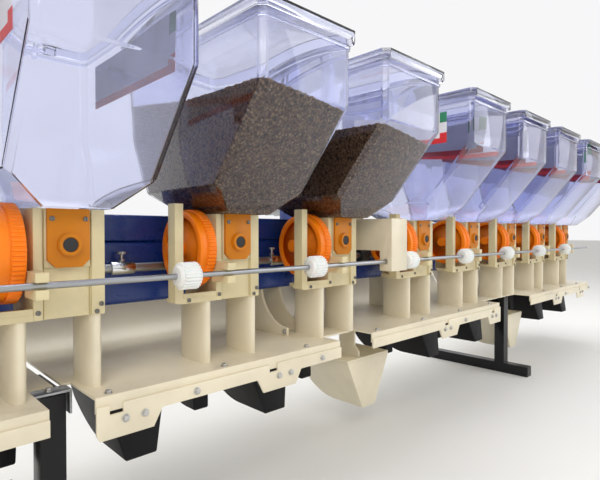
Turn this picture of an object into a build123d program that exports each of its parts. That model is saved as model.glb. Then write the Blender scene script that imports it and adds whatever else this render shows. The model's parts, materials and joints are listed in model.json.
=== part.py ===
from build123d import *
from math import cos, pi, sin
import os

# Ten-row grain seeder standing on its two shop stands.
# X runs along the row, +Y is the way it travels, +Z is up.
# The origin is on the floor at the middle of its length and depth. Lengths are in mm.

# Row
unit_count = 10
pitch = 250
centre_gap = 290
row_y = -73  # every other Y size is given from this line
half_row = [centre_gap / 2 + pitch * step for step in range(unit_count // 2)]
unit_x = sorted([-x for x in half_row] + half_row)
slot_x = [(a + b) / 2 for a, b in zip(unit_x, unit_x[1:])]

# Hopper
hopper_width = 167
hopper_wall = 3
hopper_corner = 7
hopper_top = 723
hopper_rear = row_y - 206
hopper_front = row_y + 136
rear_knee_share = 0.52  # of the height from the throat to the top
front_knee_share = 0.335
outlet_z = 467
outlet_width = 80
outlet_rear = row_y - 75
outlet_front = row_y + 50
throat_z = outlet_z + 38
throat_rear = row_y - 112
throat_front = row_y + 102
rear_knee_z = throat_z + rear_knee_share * (hopper_top - throat_z)
front_knee_z = throat_z + front_knee_share * (hopper_top - throat_z)

# Grain: unit number and how far its top lies below the hopper's top
grain_drop = {4: 103, 5: 118}
grain_gap = 0.3
grain_tilt = (0.09, -0.03, 1)

# Lid
lid_gap = 5
lid_wall = 3
lid_skirt = 12
lid_seat = 0.3
lid_corner = 10
hinge_y = hopper_front + 14
hinge_z = hopper_top - 7
hinge_pin_r = 2
hinge_fit = 0.05
hinge_half = 4.5
ear_width = 50
lug_width = 16
lug_gap = 1

# Metering housing, from its own unit's centre
housing_left = -41
housing_right = 41
housing_rear = row_y - 45
housing_front = row_y + 45
housing_bottom = 336
slit_x = (-30, 24)
slit_width = 1.6
slit_depth = 4
flange_step = 3
cover_left = -27
cover_right = 21
cover_bottom = 397
cover_cut = 9
cover_depth = 5
boss_x = -3
boss_z = 424
boss_r = 14

# Drive shaft and adjusting rod
drive_y = row_y + 62
drive_z = 384.5
drive_r = 7
shaft_fit = 0.05
drive_end = 1235
bearing_x = 1222
bearing_width = 10
bearing_half = 17
sleeve_r = 10.7
sleeve_length = 36
sleeve_x = [-1036, -536, -224, 224, 536, 1036]
rod_y = row_y - 80
rod_z = 380
rod_r = 4
rod_end = 1290

# Adjusting wheel, pinion and rod clip, from the unit's centre
wheel_y = row_y - 7
wheel_z = 417
wheel_r = 57
drum_r = 54
wheel_left = -97
wheel_step = -70
wheel_right = -51
hub_size = 22
pinion_left = -140
pinion_right = -82
pinion_r = 17
pinion_tip_r = 21.5
pinion_teeth = 12
pinion_tooth_length = 20
tooth_corners = ((-0.28, pinion_r), (-0.14, pinion_tip_r), (0.14, pinion_tip_r), (0.28, pinion_r))
clip_left = -50
clip_right = -36
clip_half = 15
clip_overhang = 8

# Wheel bracket
bracket_left = -116
bracket_wall = 7
bracket_round = 14
pillar_depth = 25
pillar_top = 480
tray_front = row_y + 15

# Seed tubes
tube_r = 17.5
tube_x = [-54, 32]
tube_y = row_y - 14

# Beam and rail
beam_length = 2620
beam_size = 100
beam_rear = row_y + 85
beam_bottom = 325
beam_round = 8
rail_size = 42
rail_round = 4
mount_width = 60
mount_clear = 20

# Float plates
float_top = 243
float_wall = 3
float_rear = row_y - 82
float_bend = row_y + 150
float_nose_r = 80
float_nose_turn = 85
float_flange = 19
float_spans = [(-1300, -652), (-642, -110), (-102, 642), (652, 1300)]
notched_float = 2  # its inner rear corner is cut away over the middle ditch opener
notch_left = -196
notch_front = row_y - 38
strap_length = 44
strap_depth = 25
strap_wall = 3
strap_y = row_y - 52

# Tab strips on the float flanges
strip_top = 232
strip_bottom = 213
strip_wall = 3
tab_bottom = 191
tab_width = 92
tab_shift = -52
tab_cut = 12
hole_width = 17
hole_depth = 12
hole_shift = -14

# Struts between beam and floats
strut_x = [-1240, -1000, -720, -557, -353, 353, 557, 720, 1000, 1240]
cheek_x = [-240, -192, 192, 240]
strut_wall = 5
strut_rear = row_y + 85
strut_front = row_y + 150
strut_width = 40
toe_rear = row_y + 8
toe_height = 16

# Openers
opener_bottom_width = 46
opener_top_width = 110
opener_bottom = 121
opener_rear = row_y - 15
opener_lean = 27
opener_flat = 80
opener_length = 162
opener_shift = -21
end_opener_x = 1250
furrow_bottom_width = 27
furrow_top_width = 40
furrow_bottom = 140
furrow_shift = -14
stand_furrow_shift = -54
furrow_rear = row_y + 40
furrow_lean = 10
furrow_flat = 30
furrow_length = 110
ditch_slots = [-770, 0, 770]
ditch_shift = -20
ditch_top_width = 142
ditch_bottom_width = 43
ditch_bottom = 62
ditch_top = 166
ditch_rear = row_y - 12
ditch_flat = 82
ditch_length = 142
ditch_plate = 5
hanger_shift = -25
hanger_wall = 5
hanger_rear = row_y - 5
hanger_front = row_y + 50
hanger_step = 12

# Drive case and hitch
case_left = -54
case_right = 0
case_rear = row_y - 95
case_bottom = 343
case_round = 10
rod_hole_r = 5
neck_top = 528
neck_half = 28
neck_rear = row_y + 42
input_z = 496
input_r = 10
input_length = 40
shoulder_r = 13
shoulder_seat = 40
hitch_front = row_y + 360
hitch_x = 200
hitch_wall = 12
hitch_pin_r = 11
hitch_pin_back = 30
hitch_pin_rise = 40
hitch_low = 15
hitch_nose = 20
hitch_chin = 30
hitch_brow = 60
top_pin_r = 9.75
top_pin_z = 643
mast_x = 37
mast_depth = 70
mast_head = 30
mast_shoulder = 20
mast_bar_z = top_pin_z - 70
mast_bar = 12

# Stands
stand_tube = 30
stand_x = 660
stand_y = row_y - 11
stand_arm_front = row_y + 82
stand_foot_rear = row_y - 98
stand_foot_front = row_y + 245
gusset = 22

os.makedirs("parts", exist_ok=True)


def keep(part, name):
    part.label = name
    export_step(part, f"parts/{name}.step")


def along_row(part, places=unit_x):
    with BuildPart() as row:
        with Locations(*[(x, 0, 0) for x in places]):
            add(part)
    return row.part


def bin_form(inset):
    """A flat-sided bin that slopes in at the rear and the front, with a funnel below."""
    half = hopper_width / 2 - inset
    with BuildPart() as form:
        with BuildSketch(Plane.YZ.offset(-half)):
            with BuildLine():
                Polyline(
                    (hopper_rear + inset, hopper_top),
                    (hopper_rear + inset, rear_knee_z),
                    (throat_rear + inset, throat_z),
                    (outlet_rear + inset, outlet_z),
                    (outlet_front - inset, outlet_z),
                    (throat_front - inset, throat_z),
                    (hopper_front - inset, front_knee_z),
                    (hopper_front - inset, hopper_top),
                    close=True,
                )
            make_face()
        extrude(amount=2 * half)
        with BuildSketch(Plane.XZ.offset(-hopper_front)):
            with BuildLine():
                Polyline(
                    (-half, hopper_top),
                    (-half, throat_z),
                    (inset - outlet_width / 2, outlet_z),
                    (outlet_width / 2 - inset, outlet_z),
                    (half, throat_z),
                    (half, hopper_top),
                    close=True,
                )
            make_face()
        extrude(amount=hopper_front - hopper_rear, mode=Mode.INTERSECT)
        walls = form.faces().filter_by(Axis.X)
        upright = walls.edges().filter_by(Axis.Y, reverse=True)
        chamfer(upright, hopper_corner)
    return form.part


# Hopper: a clear bin, open at the top and the bottom, with a hinge ear at its front.
with BuildPart() as hopper:
    add(bin_form(0))
    add(bin_form(hopper_wall), mode=Mode.SUBTRACT)
    with BuildSketch(Plane.YZ.offset(-ear_width / 2)):
        with Locations(((hopper_front + hinge_y + hinge_half) / 2, hinge_z)):
            Rectangle(hinge_y + hinge_half - hopper_front, 2 * hinge_half)
        with Locations((hinge_y, hinge_z)):
            Circle(hinge_pin_r + hinge_fit, mode=Mode.SUBTRACT)
    extrude(amount=ear_width)

for number, x in enumerate(unit_x, 1):
    keep(hopper.part.moved(Location((x, 0, 0))), f"hopper_{number}")

# Grain lies in two of the hoppers up to a gently sloping top.
for number, drop in grain_drop.items():
    with BuildPart() as grain:
        add(bin_form(hopper_wall + grain_gap))
        split(bisect_by=Plane((0, hopper_rear, hopper_top - drop), z_dir=grain_tilt), keep=Keep.BOTTOM)
    keep(grain.part.moved(Location((unit_x[number - 1], 0, 0))), f"grain_{number}")

# Lid: a flat cap with a skirt, hinged at the front top edge of its hopper.
lid_width = hopper_width + 2 * (lid_gap + lid_wall)
lid_rear = hopper_rear - lid_gap - lid_wall
lid_front = hopper_front + lid_gap + lid_wall
lid_mid = (lid_rear + lid_front) / 2
lid_bottom = hopper_top - lid_skirt
lid_top = hopper_top + lid_seat + lid_wall
with BuildPart() as lid:
    with BuildSketch(Plane.XY.offset(lid_bottom)) as cap:
        with Locations((0, lid_mid)):
            Rectangle(lid_width, lid_front - lid_rear)
        chamfer(cap.vertices(), lid_corner)
    extrude(amount=lid_top - lid_bottom)
    with BuildSketch(Plane.XY.offset(lid_bottom)) as inside:
        with Locations((0, lid_mid)):
            Rectangle(lid_width - 2 * lid_wall, lid_front - lid_rear - 2 * lid_wall)
        chamfer(inside.vertices(), lid_corner - lid_wall / 2)
    extrude(amount=lid_skirt + lid_seat, mode=Mode.SUBTRACT)
    with Locations((0, lid_front, lid_bottom)):
        Box(
            ear_width + 2 * lid_gap, 2 * (lid_wall + lid_gap), 2 * (lid_skirt + lid_seat),
            mode=Mode.SUBTRACT,
        )
    lug_x = ear_width / 2 + lug_gap + lug_width / 2
    for side in (-1, 1):
        with BuildSketch(Plane.YZ.offset(side * lug_x - lug_width / 2)):
            with BuildLine():
                Polyline(
                    (lid_front - lid_wall, hinge_z - hinge_half),
                    (hinge_y + hinge_half, hinge_z - hinge_half),
                    (hinge_y + hinge_half, hinge_z + hinge_half),
                    (lid_front - lid_wall, lid_top),
                    close=True,
                )
            make_face()
        extrude(amount=lug_width)
    pin_reach = lug_x + lug_width / 2
    with BuildSketch(Plane.YZ.offset(-pin_reach)):
        with Locations((hinge_y, hinge_z)):
            Circle(hinge_pin_r)
    extrude(amount=2 * pin_reach)

for number, x in enumerate(unit_x, 1):
    keep(lid.part.moved(Location((x, 0, 0))), f"lid_{number}")

# Metering housing under each hopper: two slits mark off its side flanges at the rear.
with BuildPart() as housing:
    with BuildSketch(Plane.XY.offset(housing_bottom)):
        with Locations(((housing_left + housing_right) / 2, (housing_rear + housing_front) / 2)):
            Rectangle(housing_right - housing_left, housing_front - housing_rear)
        with Locations(*[(x, housing_rear) for x in slit_x]):
            Rectangle(slit_width, 2 * slit_depth, mode=Mode.SUBTRACT)
    extrude(amount=outlet_z - housing_bottom)
    with BuildSketch(Plane.XY.offset(housing_bottom)):
        with Locations(((slit_x[0] + slit_x[1]) / 2, housing_rear)):
            Rectangle(slit_x[1] - slit_x[0] - slit_width, 2 * flange_step)
    extrude(amount=cover_bottom - housing_bottom, mode=Mode.SUBTRACT)
keep(along_row(housing.part), "metering_housings")

with BuildPart() as cover:
    with BuildSketch(Plane.XZ.offset(-housing_rear)):
        with BuildLine():
            Polyline(
                (cover_left + cover_cut, cover_bottom),
                (cover_right - cover_cut, cover_bottom),
                (cover_right, cover_bottom + cover_cut),
                (cover_right, outlet_z),
                (cover_left, outlet_z),
                (cover_left, cover_bottom + cover_cut),
                close=True,
            )
        make_face()
    extrude(amount=cover_depth)
    with BuildSketch(Plane.XZ.offset(-housing_rear + cover_depth)):
        with Locations((boss_x, boss_z)):
            Circle(boss_r)
    extrude(amount=cover_depth)
keep(along_row(cover.part), "rotor_covers")

# Pillar and tray that carry the adjusting wheel beside each housing.
with BuildPart() as bracket:
    with BuildSketch(Plane.XZ.offset(-housing_rear)) as side_view:
        with BuildLine():
            Polyline(
                (bracket_left, pillar_top),
                (bracket_left, housing_bottom),
                (housing_left, housing_bottom),
                (housing_left, housing_bottom + bracket_wall),
                (wheel_left, housing_bottom + bracket_wall),
                (wheel_left, pillar_top),
                close=True,
            )
        make_face()
        fillet(side_view.vertices().sort_by(Axis.X)[0:2].sort_by(Axis.Y)[0], bracket_round)
    extrude(amount=-pillar_depth)
    with BuildSketch(Plane.XY.offset(housing_bottom)):
        with Locations(
            ((bracket_left + bracket_round + housing_left) / 2, (housing_rear + pillar_depth + tray_front) / 2)
        ):
            Rectangle(housing_left - bracket_left - bracket_round, tray_front - housing_rear - pillar_depth)
    extrude(amount=bracket_wall)
keep(along_row(bracket.part), "wheel_brackets")

with BuildPart() as wheel:
    with BuildSketch(Plane.YZ.offset(wheel_left)):
        with Locations((wheel_y, wheel_z)):
            Circle(drum_r)
    extrude(amount=wheel_step - wheel_left)
    with BuildSketch(Plane.YZ.offset(wheel_step)):
        with Locations((wheel_y, wheel_z)):
            Circle(wheel_r)
    extrude(amount=wheel_right - wheel_step)
    with BuildSketch(Plane.YZ.offset(wheel_right)):
        with Locations((wheel_y, wheel_z)):
            Rectangle(hub_size, hub_size)
    extrude(amount=housing_left - wheel_right)
keep(along_row(wheel.part), "adjusting_wheels")


def gear_outline(centre_y, centre_z, teeth, corners):
    """Corner points of a gear; each corner is a share of the tooth's pitch and a radius."""
    points = []
    for tooth in range(teeth):
        for step, radius in corners:
            turn = 2 * pi * (tooth + step) / teeth
            points.append((centre_y + radius * cos(turn), centre_z + radius * sin(turn)))
    return points


with BuildPart() as pinion:
    with BuildSketch(Plane.YZ.offset(pinion_left)):
        with Locations((rod_y, rod_z)):
            Circle(pinion_r)
    extrude(amount=pinion_right - pinion_left - pinion_tooth_length)
    with BuildSketch(Plane.YZ.offset(pinion_right - pinion_tooth_length)):
        with BuildLine():
            Polyline(*gear_outline(rod_y, rod_z, pinion_teeth, tooth_corners), close=True)
        make_face()
    extrude(amount=pinion_tooth_length)
    with BuildSketch(Plane.YZ.offset(pinion_left)):
        with Locations((rod_y, rod_z)):
            Circle(rod_r + shaft_fit)
    extrude(amount=pinion_right - pinion_left, mode=Mode.SUBTRACT)
keep(along_row(pinion.part), "adjusting_pinions")

with BuildPart() as rod:
    with BuildSketch(Plane.YZ.offset(-rod_end)):
        with Locations((rod_y, rod_z)):
            Circle(rod_r)
    extrude(amount=2 * rod_end)
keep(rod.part, "adjusting_rod")

# A forked clip on each housing holds the rod from above and below.
with BuildPart() as clip:
    with BuildSketch(Plane.YZ.offset(clip_left)):
        with BuildLine():
            Polyline(
                (housing_rear, rod_z - clip_half),
                (housing_rear, rod_z + clip_half),
                (rod_y - clip_overhang, rod_z + clip_half),
                (rod_y - clip_overhang, rod_z + rod_r + shaft_fit),
                (rod_y + rod_r + shaft_fit, rod_z + rod_r + shaft_fit),
                (rod_y + rod_r + shaft_fit, rod_z - rod_r - shaft_fit),
                (rod_y - clip_overhang, rod_z - rod_r - shaft_fit),
                (rod_y - clip_overhang, rod_z - clip_half),
                close=True,
            )
        make_face()
    extrude(amount=clip_right - clip_left)
keep(along_row(clip.part), "rod_clips")

# Drive shaft in front of the housings, its coupling sleeves and its end bearings.
with BuildPart() as drive:
    with BuildSketch(Plane.YZ.offset(-drive_end)):
        with Locations((drive_y, drive_z)):
            Circle(drive_r)
    extrude(amount=2 * drive_end)
keep(drive.part, "drive_shaft")

with BuildPart() as sleeve:
    with BuildSketch(Plane.YZ.offset(-sleeve_length / 2)):
        with Locations((drive_y, drive_z)):
            Circle(sleeve_r)
            Circle(drive_r + shaft_fit, mode=Mode.SUBTRACT)
    extrude(amount=sleeve_length)
keep(along_row(sleeve.part, sleeve_x), "shaft_sleeves")

with BuildPart() as bearing:
    with BuildSketch(Plane.YZ.offset(-bearing_width / 2)):
        with Locations(((beam_rear + drive_y - bearing_half) / 2, drive_z)):
            Rectangle(beam_rear - drive_y + bearing_half, 2 * bearing_half)
        with Locations((drive_y, drive_z)):
            Circle(drive_r + shaft_fit, mode=Mode.SUBTRACT)
    extrude(amount=bearing_width)
keep(along_row(bearing.part, [-bearing_x, bearing_x]), "shaft_bearings")

# Seed tubes: two under each unit, down to the float plate.
with BuildPart() as tubes:
    with BuildSketch(Plane.XY.offset(float_top)):
        with Locations(*[(x, tube_y) for x in tube_x]):
            Circle(tube_r)
    extrude(amount=housing_bottom - float_top)
keep(along_row(tubes.part), "seed_tubes")

# Main beam, the rail on it, and the mounts that hold each housing.
beam_top = beam_bottom + beam_size
beam_front = beam_rear + beam_size
with BuildPart() as beam:
    with BuildSketch(Plane.YZ.offset(-beam_length / 2)):
        with Locations((beam_rear + beam_size / 2, beam_bottom + beam_size / 2)):
            RectangleRounded(beam_size, beam_size, beam_round)
    extrude(amount=beam_length)
keep(beam.part, "main_beam")

with BuildPart() as rail:
    with BuildSketch(Plane.YZ.offset(-beam_length / 2)):
        with Locations((beam_rear + rail_size / 2, beam_top + rail_size / 2)):
            RectangleRounded(rail_size, rail_size, rail_round)
    extrude(amount=beam_length)
keep(rail.part, "top_rail")

with BuildPart() as mount:
    with BuildSketch(Plane.YZ.offset((housing_left + housing_right - mount_width) / 2)):
        with BuildLine():
            Polyline(
                (housing_front, drive_z + mount_clear),
                (beam_rear, drive_z + mount_clear),
                (beam_rear, beam_top + rail_size / 2),
                (housing_front, beam_top + rail_size / 2),
                close=True,
            )
        make_face()
    extrude(amount=mount_width)
keep(along_row(mount.part), "housing_mounts")

# Float plates: a flat sheet with a flange down at the rear and a nose rolled up at the front.
for number, (left, right) in enumerate(float_spans, 1):
    with BuildPart() as float_plate:
        with BuildSketch(Plane.YZ.offset(left)):
            with BuildLine():
                bend_z = float_top - float_wall / 2
                Line((float_rear, float_top - float_flange), (float_rear, bend_z))
                Line((float_rear, bend_z), (float_bend, bend_z))
                CenterArc((float_bend, bend_z + float_nose_r), float_nose_r, -90, float_nose_turn)
            trace(line_width=float_wall)
        extrude(amount=right - left)
        if number == notched_float:
            with BuildSketch(Plane.XY.offset(float_top - float_flange)):
                with Locations(((notch_left + right) / 2, (float_rear - float_flange + notch_front) / 2)):
                    Rectangle(right - notch_left, notch_front - float_rear + float_flange)
            extrude(amount=2 * float_flange, mode=Mode.SUBTRACT)
    keep(float_plate.part, f"float_{number}")

with BuildPart() as straps:
    for side in (-1, 1):
        with Locations((side * stand_x, strap_y, float_top + strap_wall / 2)):
            Box(strap_length, strap_depth, strap_wall)
keep(straps.part, "float_straps")

# Trench opener places: the slots without a ditch opener, and one more at each end.
opener_x = [x + opener_shift for x in slot_x if x not in ditch_slots]
opener_x = [-end_opener_x] + opener_x + [end_opener_x]

# Strip on each float's flange with a tab behind every trench opener.
strip_rear = float_rear - float_wall / 2
with BuildPart() as strips:
    for number, (left, right) in enumerate(float_spans, 1):
        if number == notched_float:
            right = notch_left
        with BuildSketch(Plane.XZ.offset(-strip_rear)):
            with Locations(((left + right) / 2, (strip_top + strip_bottom) / 2)):
                Rectangle(right - left, strip_top - strip_bottom)
            for x in opener_x:
                tab_left = max(x + tab_shift - tab_width / 2, left)
                tab_right = min(x + tab_shift + tab_width / 2, right)
                if tab_right - tab_left < tab_width / 2:
                    continue
                with BuildLine():
                    Polyline(
                        (tab_left, strip_bottom),
                        (tab_left + tab_cut, tab_bottom),
                        (tab_right - tab_cut, tab_bottom),
                        (tab_right, strip_bottom),
                        close=True,
                    )
                make_face()
                with Locations(((tab_left + tab_right) / 2 + hole_shift, strip_top)):
                    Rectangle(hole_width, 2 * hole_depth, mode=Mode.SUBTRACT)
        extrude(amount=strip_wall)
keep(strips.part, "float_tab_strips")

# Struts hang the float plates from the main beam; the cheeks have a toe swept to the rear.
with BuildPart() as strut:
    with BuildSketch(Plane.XY.offset(float_top)):
        with Locations((0, strut_front - strut_width / 2)):
            Rectangle(strut_wall, strut_width)
    extrude(amount=beam_bottom - float_top)
keep(along_row(strut.part, strut_x), "float_struts")

with BuildPart() as cheek:
    with BuildSketch(Plane.YZ.offset(-strut_wall / 2)):
        with BuildLine():
            Line((strut_rear, beam_bottom), (strut_front, beam_bottom))
            Line((strut_front, beam_bottom), (strut_front, float_top))
            Line((strut_front, float_top), (toe_rear, float_top))
            Line((toe_rear, float_top), (toe_rear, float_top + toe_height))
            TangentArc(
                (toe_rear, float_top + toe_height), (strut_rear, beam_bottom), tangent=(1, 0),
            )
        make_face()
    extrude(amount=strut_wall)
keep(along_row(cheek.part, cheek_x), "float_cheeks")


def boat(rear, lean, bottom, top, flat, length, bottom_width, top_width):
    """A keel that is flat at the rear and sweeps up to the front."""
    with BuildPart() as hull:
        with BuildSketch(Plane.YZ.offset(-top_width / 2)):
            with BuildLine():
                Line((rear + lean, top), (rear, bottom))
                Line((rear, bottom), (rear + flat, bottom))
                TangentArc((rear + flat, bottom), (rear + length, top), tangent=(1, 0))
                Line((rear + length, top), (rear + lean, top))
            make_face()
        extrude(amount=top_width)
        with BuildSketch(Plane.XZ.offset(-rear - length)):
            with BuildLine():
                Polyline(
                    (-bottom_width / 2, bottom),
                    (bottom_width / 2, bottom),
                    (top_width / 2, top),
                    (-top_width / 2, top),
                    close=True,
                )
            make_face()
        extrude(amount=length, mode=Mode.INTERSECT)
    return hull.part


float_under = float_top - float_wall
opener = boat(
    opener_rear, opener_lean, opener_bottom, float_under, opener_flat, opener_length,
    opener_bottom_width, opener_top_width,
)
keep(along_row(opener, opener_x), "trench_openers")
furrow = boat(
    furrow_rear, furrow_lean, furrow_bottom, float_under, furrow_flat, furrow_length,
    furrow_bottom_width, furrow_top_width,
)
furrow_x = []
for x in unit_x:
    near_stand = min(abs(x + furrow_shift - side * stand_x) for side in (-1, 1)) < pitch / 4
    furrow_x.append(x + (stand_furrow_shift if near_stand else furrow_shift))
keep(along_row(furrow, furrow_x), "furrow_openers")
ditch = boat(
    ditch_rear, 0, ditch_bottom, ditch_top, ditch_flat, ditch_length,
    ditch_bottom_width, ditch_top_width,
)
ditch_x = [x + ditch_shift for x in ditch_slots]
keep(along_row(ditch, ditch_x), "ditch_openers")

# Each ditch opener hangs under its float from a plate with a stepped hanger.
with BuildPart() as ditch_hanger:
    with BuildSketch(Plane.XY.offset(ditch_top)):
        with Locations((0, ditch_rear + ditch_length / 2)):
            Rectangle(ditch_top_width, ditch_length)
    extrude(amount=ditch_plate)
    with BuildSketch(Plane.YZ.offset(hanger_shift - hanger_wall / 2)):
        with BuildLine():
            low = ditch_top + ditch_plate
            Polyline(
                (hanger_rear, low),
                (hanger_rear, low + hanger_step),
                (hanger_rear + hanger_step, low + 2 * hanger_step),
                (hanger_rear + hanger_step, float_under - hanger_step),
                (hanger_rear, float_under),
                (hanger_front, float_under),
                (hanger_front, low),
                close=True,
            )
        make_face()
    extrude(amount=hanger_wall)
keep(along_row(ditch_hanger.part, ditch_x), "ditch_hangers")

# Central drive case: a block over the shaft line and a neck over the beam.
neck_bottom = beam_top + rail_size
with BuildPart() as case:
    with BuildSketch(Plane.XZ.offset(-case_rear)) as block:
        with Locations(((case_left + case_right) / 2, (case_bottom + neck_bottom) / 2)):
            Rectangle(case_right - case_left, neck_bottom - case_bottom)
        fillet(block.vertices().group_by(Axis.Y)[0], case_round)
    extrude(amount=case_rear - beam_rear)
    for y, z, radius in ((drive_y, drive_z, drive_r + shaft_fit), (rod_y, rod_z, rod_hole_r)):
        with BuildSketch(Plane.YZ.offset(case_left)):
            with Locations((y, z)):
                Circle(radius)
        extrude(amount=case_right - case_left, mode=Mode.SUBTRACT)
    with BuildSketch(Plane.XZ.offset(-neck_rear)):
        with Locations((0, (neck_bottom + neck_top) / 2)):
            Rectangle(2 * neck_half, neck_top - neck_bottom)
    extrude(amount=neck_rear - beam_front)
    with BuildSketch(Plane.XZ.offset(-beam_front)):
        with Locations((0, input_z)):
            Circle(shoulder_r + shaft_fit)
    extrude(amount=shoulder_seat, mode=Mode.SUBTRACT)
keep(case.part, "drive_case")

input_end = hitch_front
with BuildPart() as input_shaft:
    with BuildSketch(Plane.XZ.offset(-beam_front + shoulder_seat)):
        with Locations((0, input_z)):
            Circle(shoulder_r)
    extrude(amount=beam_front - shoulder_seat - input_end + input_length)
    with BuildSketch(Plane.XZ.offset(-input_end + input_length)):
        with Locations((0, input_z)):
            Circle(input_r)
    extrude(amount=-input_length)
keep(input_shaft.part, "input_shaft")

# Hitch: two side plates with lower pin bores and a mast with the top pin's bore.
with BuildPart() as hitch:
    for side in (-1, 1):
        with BuildSketch(Plane.YZ.offset(side * hitch_x - hitch_wall / 2)):
            with BuildLine():
                Polyline(
                    (beam_front, beam_bottom + hitch_low),
                    (hitch_front - hitch_nose, beam_bottom + hitch_low),
                    (hitch_front, beam_bottom + hitch_chin),
                    (hitch_front, beam_bottom + hitch_brow),
                    (beam_front, beam_top),
                    close=True,
                )
            make_face()
            with Locations((hitch_front - hitch_pin_back, beam_bottom + hitch_pin_rise)):
                Circle(hitch_pin_r, mode=Mode.SUBTRACT)
        extrude(amount=hitch_wall)
keep(hitch.part, "lower_hitch_plates")

with BuildPart() as mast:
    for side in (-1, 1):
        with BuildSketch(Plane.YZ.offset(side * mast_x - hitch_wall / 2)):
            with BuildLine():
                Polyline(
                    (beam_front, beam_bottom),
                    (beam_front + mast_depth, beam_bottom),
                    (beam_front + mast_depth, top_pin_z),
                    (beam_front + mast_depth - mast_shoulder, top_pin_z + mast_head),
                    (beam_front + mast_shoulder, top_pin_z + mast_head),
                    (beam_front, top_pin_z),
                    close=True,
                )
            make_face()
            with Locations((beam_front + mast_depth / 2, top_pin_z)):
                Circle(top_pin_r, mode=Mode.SUBTRACT)
        extrude(amount=hitch_wall)
    with BuildSketch(Plane.XY.offset(mast_bar_z)):
        with Locations((0, beam_front + mast_depth / 2)):
            Rectangle(2 * mast_x - hitch_wall, mast_depth - mast_bar)
    extrude(amount=mast_bar)
keep(mast.part, "hitch_mast")

# Stands: a post and an arm under the float plate on a bar that lies on the floor.
for side, name in ((-1, "stand_left"), (1, "stand_right")):
    with BuildPart() as stand:
        with Locations((side * stand_x, (stand_foot_rear + stand_foot_front) / 2, stand_tube / 2)):
            Box(stand_tube, stand_foot_front - stand_foot_rear, stand_tube)
        with BuildSketch(Plane.YZ.offset(side * stand_x - stand_tube / 2)):
            with BuildLine():
                post_rear = stand_y - stand_tube / 2
                post_front = stand_y + stand_tube / 2
                Polyline(
                    (post_rear, stand_tube),
                    (post_rear, float_under),
                    (stand_arm_front, float_under),
                    (stand_arm_front, float_under - stand_tube),
                    (post_front + gusset, float_under - stand_tube),
                    (post_front, float_under - stand_tube - gusset),
                    (post_front, stand_tube),
                    close=True,
                )
            make_face()
        extrude(amount=stand_tube)
    keep(stand.part, name)
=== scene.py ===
import bpy, bmesh, json, math
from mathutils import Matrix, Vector


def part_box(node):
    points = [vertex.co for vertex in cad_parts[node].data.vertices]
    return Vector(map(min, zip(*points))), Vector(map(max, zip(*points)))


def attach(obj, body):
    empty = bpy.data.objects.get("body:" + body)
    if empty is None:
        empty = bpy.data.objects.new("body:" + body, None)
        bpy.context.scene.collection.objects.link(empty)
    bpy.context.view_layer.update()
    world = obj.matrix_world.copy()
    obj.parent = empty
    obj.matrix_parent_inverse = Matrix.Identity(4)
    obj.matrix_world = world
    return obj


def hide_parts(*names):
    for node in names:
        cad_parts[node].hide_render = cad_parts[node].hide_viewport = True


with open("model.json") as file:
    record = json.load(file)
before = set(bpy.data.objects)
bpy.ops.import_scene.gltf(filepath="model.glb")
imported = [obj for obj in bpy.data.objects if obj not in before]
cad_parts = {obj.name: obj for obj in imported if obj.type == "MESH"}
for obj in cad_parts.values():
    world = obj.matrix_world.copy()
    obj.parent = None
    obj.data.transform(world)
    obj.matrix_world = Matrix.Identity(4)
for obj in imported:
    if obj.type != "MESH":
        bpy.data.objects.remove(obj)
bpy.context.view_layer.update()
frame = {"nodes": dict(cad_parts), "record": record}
nodes = frame["nodes"]
slotOf = {part["node"]: part["material_slot"] for part in frame["record"]["subparts"]}
print("frame loaded:", len(nodes), "nodes")


def addObject(name, data):
    obj = bpy.data.objects.new(name, data)
    bpy.context.collection.objects.link(obj)
    return obj


# Camera and studio

photoCamera = {
    "place": (-0.8436, -0.7232, 0.4383),  # metres, behind the machine and left of its middle
    "turn": 43.96,  # degrees from straight ahead towards the right
    "tilt": -0.87,  # degrees up
    "lens": 28.5,
}


def addCamera(v):
    data = bpy.data.cameras.new("viewCamera")
    data.lens = v["lens"]
    data.sensor_width = 36
    data.clip_start = 0.01
    camera = addObject("viewCamera", data)
    camera.location = v["place"]
    camera.rotation_euler = (math.radians(90 + v["tilt"]), 0, -math.radians(v["turn"]))
    bpy.context.scene.camera = camera


studio = {
    "floorShade": 0.82,
    "floorReach": 30,  # metres each way
    "backShade": 0.93,
    "skyLight": 0.62,
    "skyTint": (1.0, 0.985, 0.96),
    "lamps": {  # place, point it faces, size, power and tint
        "keyLamp": ((-2.4, -2.6, 2.6), (0, 0, 0.4), (2.2, 2.2), 60, (1, 0.97, 0.92)),
        "fillLamp": ((2.6, -2.4, 1.6), (0.4, 0, 0.4), (2.0, 2.0), 26, (0.92, 0.95, 1)),
        "roofLamp": ((0, 0.4, 3.0), (0, 0, 0.4), (3.6, 2.4), 70, (1, 1, 1)),
    },
}


def addLamp(name, place, aim, size, power, tint):
    data = bpy.data.lights.new(name, "AREA")
    data.shape = "RECTANGLE"
    data.size, data.size_y = size
    data.energy = power
    data.color = tint
    lamp = addObject(name, data)
    lamp.location = place
    lamp.rotation_euler = (Vector(aim) - Vector(place)).to_track_quat("-Z", "Y").to_euler()


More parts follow.
